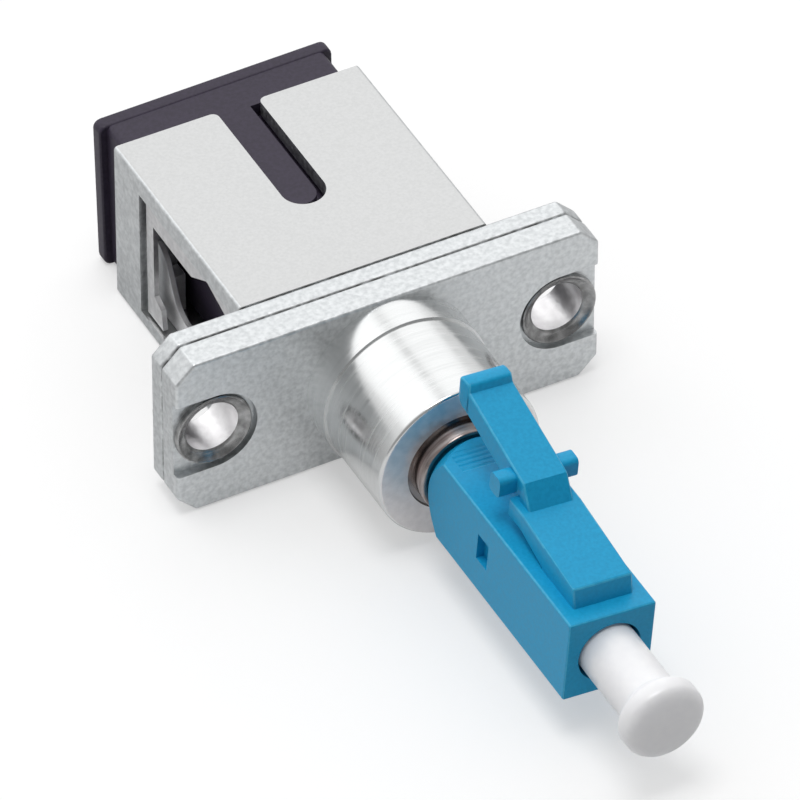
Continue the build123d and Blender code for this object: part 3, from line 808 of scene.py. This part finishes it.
plug = block("plug", (-plug_half, plug_front_y, -plug_half), (plug_half, plug_rear_y, plug_half))
round_edges(plug, plug_round, lengthwise, segments=4)
round_edges(plug, nose_round, lambda middle, way: middle.y < plug_front_y + touch, segments=3)
rear_dome = chain("rear_dome", 0, [
    (plug_front_y - over, plug_half * plug_shoulder[0][1]),
    *((plug_rear_y - back, plug_half * share) for back, share in plug_shoulder),
])
combine(plug, rear_dome, "INTERSECT")
neck = chain("neck", 0, [
    (neck_foot_y, neck_radius),
    (collar_rear_y - collar_length, neck_radius),
    (collar_rear_y - collar_length, collar_radius),
    (collar_rear_y, collar_radius),
])
combine(plug, neck, "UNION")
latch_root = bar("latch_root", latch_half, [
    (latch_front_y, root_foot, root_top),
    (hinge_y, root_foot, slab_at_hinge),
])
shift_corners(
    latch_root, (0, latch_lean, 0), lambda at: at.y < latch_front_y + touch and at.z > plug_half
)
round_edges(
    latch_root,
    latch_round,
    lambda middle, way: middle.y < hinge_y - touch and middle.z > plug_half,
    segments=3,
)
combine(plug, latch_root, "UNION")
nose_core = chain("core", 0, [
    (plug_front_y - over, nose_bore),
    (web_front_y, nose_bore),
    (web_front_y, web_bore),
    (web_rear_y, web_bore),
    (web_rear_y, chamber_bore),
    (collar_rear_y + over, chamber_bore),
])
combine(plug, nose_core, "DIFFERENCE")
core_out(
    plug,
    (-plug_half - over, recess_y - recess_half_length, recess_z - recess_half_height),
    (-plug_half + recess_depth, recess_y + recess_half_length, recess_z + recess_half_height),
)
for i in range(groove_count):
    bpy.ops.mesh.primitive_cylinder_add(
        vertices=24,
        radius=groove_radius,
        depth=groove_length,
        location=(0, first_groove_y - i * groove_pitch, groove_z),
        rotation=(0, math.pi / 2, 0),
    )
    combine(plug, named("core"), "DIFFERENCE")
roll_about_axis(plug, plug_roll)
shade(plug)

# The moulding's rounded edges get a lighter blue: a painted highlight along them.
blue_plastic = new_finish(
    "blue_plastic",
    dark=(0.006, 0.31, 0.57),
    light=(0.009, 0.35, 0.63),
    spots=6000,
    detail=3.0,
    roughness=(0.32, 0.42),
    specular=0.25,
    depth=0.003 * mm,
)
blue_painted_highlight = new_finish(
    "blue_painted_highlight",
    dark=(0.02, 0.36, 0.62),
    light=(0.05, 0.44, 0.68),
    spots=3000,
    detail=3.0,
    roughness=0.3,
    specular=0.4,
)


flat_from, edge_tilt, core_reach = 0.94, 0.3, 1.05 * nose_bore


def between_sides(middle, normal):
    """Whether a face of the rolled plug is a rounding between its flat sides."""
    across = normal.x * math.cos(plug_roll) - normal.z * math.sin(plug_roll)
    up = normal.z * math.cos(plug_roll) + normal.x * math.sin(plug_roll)
    flat = max(abs(across), abs(up), abs(normal.y)) > flat_from
    outside = math.hypot(middle.x, middle.z) > core_reach
    return outside and not flat and middle.y < flat_sides_end_y


def tilted(middle, normal):
    """Whether a face of the latch leans both sideways and up or down, as its roundings do."""
    return min(abs(normal.x), abs(normal.z)) > edge_tilt


fit(plug, "adapter", "blue_plastic", blue_plastic, "lc_housing")
# Painted highlight on the plug's rounded edges.
second_finish(plug, blue_painted_highlight, between_sides)

# Latch: one sprung lever of the same blue moulding, which bends at its root when it is pressed.
# It has a slab at its root, a lug each side that catches in the mating socket, and a thumb ridge
# at its free end.
slab_end_y, slab_end = slab_front_y + slab_length, root_top + slab_rise
slab_thick, slab_gap = 0.95 * mm, 0.03 * mm
step_y, arm_start = slab_end_y + 0.76 * mm, slab_end + 1.09 * mm
slab_rear_y = step_y + 0.5 * mm
arm_half, arm_thick, arm_round = 1.15 * mm, 1.25 * mm, 1.3 * latch_round
arm_low = arm_start - arm_thick
arm_end_y, arm_end = step_y + 5.38 * mm, arm_start + 1.15 * mm
arm_slope = (arm_end - arm_start) / (arm_end_y - step_y)
ridge_top, ridge_lean, ridge_depth = arm_end + 0.4 * mm, 0.14 * mm, 0.15 * mm
tail_y, tail_rise, tail_length, tail_step = arm_end_y + 1.0 * mm, 0.5 * mm, 0.25 * mm, 0.1 * mm
lug_front_y, lug_length, lug_height = step_y + 0.55 * mm, 0.92 * mm, 1.05 * mm
lug_reach, lug_round = 2.025 * mm, 0.25 * mm


def arm_edge(middle, way):
    """Whether an edge is one of the arm's upper ones; across it, only the ridge's are."""
    across = abs(way.x) > aligned
    return middle.z > (ridge_top - ridge_depth if across else arm_low)


latch = bar("latch", latch_half, [
    (hinge_y, plug_half + slab_gap, slab_at_hinge),
    (slab_end_y, slab_end - slab_thick, slab_end),
    (slab_rear_y, slab_end - slab_thick, slab_end),
])
round_edges(
    latch,
    latch_round,
    lambda middle, way: middle.y > hinge_y + touch and abs(way.x) < aligned,
    segments=3,
)
arm = bar("arm", arm_half, [
    (slab_end_y, slab_end - slab_thick / 2, slab_end - touch),
    (step_y, slab_end - slab_thick / 2, arm_start),
    (slab_rear_y, arm_low, arm_start + (slab_rear_y - step_y) * arm_slope),
    (arm_end_y, arm_end - arm_thick, arm_end),
    (arm_end_y + ridge_lean, arm_end - arm_thick, ridge_top),
    (tail_y - tail_length, arm_end - arm_thick + tail_step, ridge_top),
    (tail_y, arm_end - arm_thick + tail_rise, ridge_top - tail_step),
])
round_edges(arm, arm_round, arm_edge, segments=4)
combine(latch, arm, "UNION")
lug = block(
    "lug",
    (-lug_reach, lug_front_y, arm_start - lug_height),
    (lug_reach, lug_front_y + lug_length, arm_start),
)
round_edges(lug, lug_round, lambda middle, way: abs(way.x) > aligned, segments=4)
combine(latch, lug, "UNION")
roll_about_axis(latch, plug_roll)
shade(latch)
fit(latch, None, "blue_plastic", blue_plastic, "lc_latch")
# Painted highlight on the latch's rounded edges.
second_finish(latch, blue_painted_highlight, tilted)
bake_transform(latch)

# Cover on the small ferrule: soft white plastic tube with a flared grip and a slightly domed end.
# It is moulded in one and pushed over the ferrule, which holds it by friction.
cover_low, cover_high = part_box("lc_cap")
tube_radius, tube_bore, tube_edge = 1.45 * mm, 0.66 * mm, 0.15 * mm
bore_end_y = plug_front_y - 1.6 * mm
flare_end_y, flare_steps = cover_low.y + 1.75 * mm, 10
grip_rear_y, grip_radius, grip_round = cover_low.y + 1.0 * mm, 2.03 * mm, 0.55 * mm
dome_height, dome_shares = 0.06 * mm, (0.7, 0.4, 0.15)
cover_outline = [
    (bore_end_y, tube_bore),
    (cover_high.y, tube_bore),
    (cover_high.y, tube_radius - tube_edge),
    (cover_high.y - tube_edge, tube_radius),
]
for i in range(flare_steps + 1):
    share = i / flare_steps
    swell = share * share * (3 - 2 * share)
    cover_outline.append((
        flare_end_y + (grip_rear_y - flare_end_y) * share,
        tube_radius + (grip_radius - tube_radius) * swell,
    ))
cover_outline += rounded_rim(cover_low.y + dome_height, grip_radius, grip_round, steps=6)[1:]
for share in dome_shares:
    cover_outline.append((cover_low.y + dome_height * share, (grip_radius - grip_round) * share))
white_cover = chain("white_cover", 0, cover_outline)
shade(white_cover)

white_plastic = new_finish(
    "white_plastic",
    dark=(0.88, 0.88, 0.9),
    light=(0.9, 0.9, 0.915),
    spots=2500,
    roughness=0.3,
    specular=0.8,
)
white_shader = white_plastic.node_tree.nodes["Principled BSDF"]
white_shader.inputs["Subsurface Weight"].default_value = 0.5
white_shader.inputs["Subsurface Radius"].default_value = (1.0, 1.0, 1.0)
white_shader.inputs["Subsurface Scale"].default_value = 0.9 * mm
fit(white_cover, "ferrule_cover", "white_plastic", white_plastic, "lc_cap")

# Ferrules, sleeve and fibre, hidden inside: the ferrules and the slit sleeve are ground ceramic,
# and the fibre glued in the ferrules is glass.
ceramic = new_finish(
    "ceramic", dark=(0.85, 0.84, 0.8), light=(0.9, 0.89, 0.86), spots=1500, roughness=0.2
)
for name in ("lc_ferrule", "sc_ferrule", "split_sleeve"):
    dress(name, ceramic)
glass = new_finish(
    "glass", dark=(0.86, 0.92, 0.94), light=(0.9, 0.95, 0.97), spots=1500, roughness=0.05
)
dress("optical_fibre", glass)

# Cover in the socket: dark purple-black soft plastic, a hollow plug with collar, rim and key.
# It is moulded in one and held by friction, turned by a degree in the play of the mouth.
dark_roll = math.radians(-1.0)
dark_low, dark_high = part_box("sc_dust_cap")
shift_x, drop = -0.07 * mm, 0.1 * mm
rim_half, rim_half_height, rim_corner, rim_round = 6.15 * mm, 4.3 * mm, 0.4 * mm, 0.12 * mm
rim_front_y = dark_high.y - 0.75 * mm
collar_half, collar_half_height, collar_corner = 5.75 * mm, 4.25 * mm, 0.3 * mm
collar_front_y, collar_overlap = mouth_y + 0.02 * mm, 0.2 * mm
inset_play, inset_wall = 0.22 * mm, 1.0 * mm
inset_half, inset_half_height = mouth_half - inset_play, mouth_half_height - inset_play
inset_rear_y, hollow_end_y = mouth_y + 0.5 * mm, mouth_y + 0.95 * mm
key_half, key_front_y, key_end_round = 0.85 * mm, slot_end_y + 0.45 * mm, 0.8 * mm
key_rear_y = rim_front_y + 0.1 * mm


def about(name, half_x, half_z, front_y, rear_y, corner):
    """A block about the cover's middle with rounded corners."""
    piece = block(
        name, (shift_x - half_x, front_y, -drop - half_z), (shift_x + half_x, rear_y, half_z - drop)
    )
    round_edges(piece, corner, lengthwise, segments=4)
    return piece


dark_cover = about("dark_cover", rim_half, rim_half_height, rim_front_y, dark_high.y, rim_corner)
round_edges(dark_cover, rim_round, crosswise, segments=3)
collar = about(
    "collar",
    collar_half,
    collar_half_height,
    collar_front_y,
    rim_front_y + collar_overlap,
    collar_corner,
)
combine(dark_cover, collar, "UNION")
inset = about("inset", inset_half, inset_half_height, dark_low.y, inset_rear_y, collar_corner)
combine(dark_cover, inset, "UNION")
key = block(
    "key",
    (shift_x - key_half, key_front_y, inset_half_height - drop - inset_wall / 2),
    (shift_x + key_half, key_rear_y, collar_half_height - drop),
)
round_edges(
    key,
    key_end_round,
    lambda middle, way: abs(way.z) > aligned and middle.y < key_front_y + touch,
    segments=6,
)
combine(dark_cover, key, "UNION")
hollow = about(
    "core",
    inset_half - inset_wall,
    inset_half_height - inset_wall,
    dark_low.y - over,
    hollow_end_y,
    collar_corner,
)
combine(dark_cover, hollow, "DIFFERENCE")
roll_about_axis(dark_cover, dark_roll)
shade(dark_cover)

dark_plastic = new_finish(
    "dark_plastic",
    dark=(0.031, 0.024, 0.042),
    light=(0.043, 0.034, 0.058),
    spots=5000,
    detail=3.0,
    roughness=(0.36, 0.48),
    specular=0.3,
    depth=0.004 * mm,
)
fit(dark_cover, "socket_cover", "dark_plastic", dark_plastic, "sc_dust_cap")
